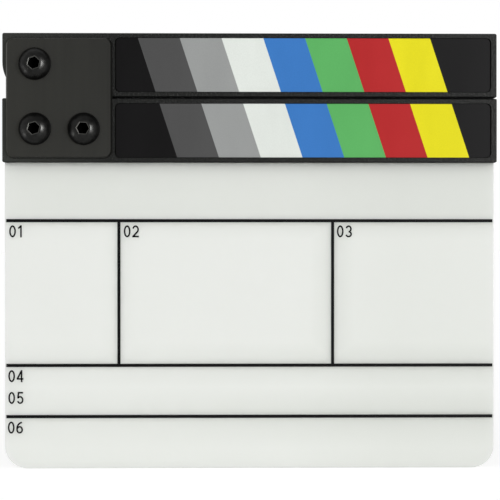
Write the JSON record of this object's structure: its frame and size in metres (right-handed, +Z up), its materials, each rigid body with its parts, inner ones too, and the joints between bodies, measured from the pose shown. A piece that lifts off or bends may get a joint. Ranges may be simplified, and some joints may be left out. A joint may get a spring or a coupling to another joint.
{
  "type": "clapperboard",
  "caption": "Film slate: opal acrylic writing board held in a moulded clapstick, with a second striped clapstick hinged above it between steel plates.",
  "frame": {"origin": "middle of the board's straight lower edge, on the board's mid-plane", "axes": "+X to the right as the board is read, +Z up, -Y out of the written face; +Y is the back"},
  "size_m": [0.2008, 0.0238, 0.1771],
  "materials": {
    "opal_acrylic": "satin",
    "rule_ink": "matt",
    "stick_plastic": "fine grain",
    "hinge_steel": "satin powder coat",
    "black_oxide_steel": "black oxide",
    "bush_bronze": "turned",
    "nylon": "smooth",
    "label_black": "satin strip",
    "label_dark_grey": "satin print",
    "label_light_grey": "satin print",
    "label_white": "satin print",
    "label_blue": "satin print",
    "label_green": "satin print",
    "label_red": "satin print",
    "label_yellow": "satin print"
  },
  "bodies": {
    "board": {"writing_board": "opal_acrylic", "board_rules": "rule_ink", "lower_stick_front": "stick_plastic", "lower_stick_rear": "stick_plastic", "lower_cover_screws": "black_oxide_steel", "lower_label_strip": "label_black", "front_hinge_plate": "hinge_steel", "rear_hinge_plate": "hinge_steel", "plate_screws": "black_oxide_steel", "pivot_screw": "black_oxide_steel", "plate_sleeve_nuts": "black_oxide_steel", "pivot_sleeve_nut": "black_oxide_steel", "front_pivot_washer": "nylon", "rear_pivot_washer": "nylon", "lower_stripe_dark_grey": "label_dark_grey", "lower_stripe_light_grey": "label_light_grey", "lower_stripe_white": "label_white", "lower_stripe_blue": "label_blue", "lower_stripe_green": "label_green", "lower_stripe_red": "label_red", "lower_stripe_yellow": "label_yellow"},
    "upper_stick": {"upper_stick_front": "stick_plastic", "upper_stick_rear": "stick_plastic", "upper_cover_screws": "black_oxide_steel", "upper_label_strip": "label_black", "upper_stripe_dark_grey": "label_dark_grey", "upper_stripe_light_grey": "label_light_grey", "upper_stripe_white": "label_white", "upper_stripe_blue": "label_blue", "upper_stripe_green": "label_green", "upper_stripe_red": "label_red", "upper_stripe_yellow": "label_yellow", "pivot_bush": "bush_bronze"}
  },
  "joints": [
    {"name": "clap_hinge", "type": "hinge", "parent": "board", "child": "upper_stick", "pos_m": [-0.08697, 0, 0.16438], "axis": [0, -1, 0], "range_deg": [0, 90]}
  ]
}
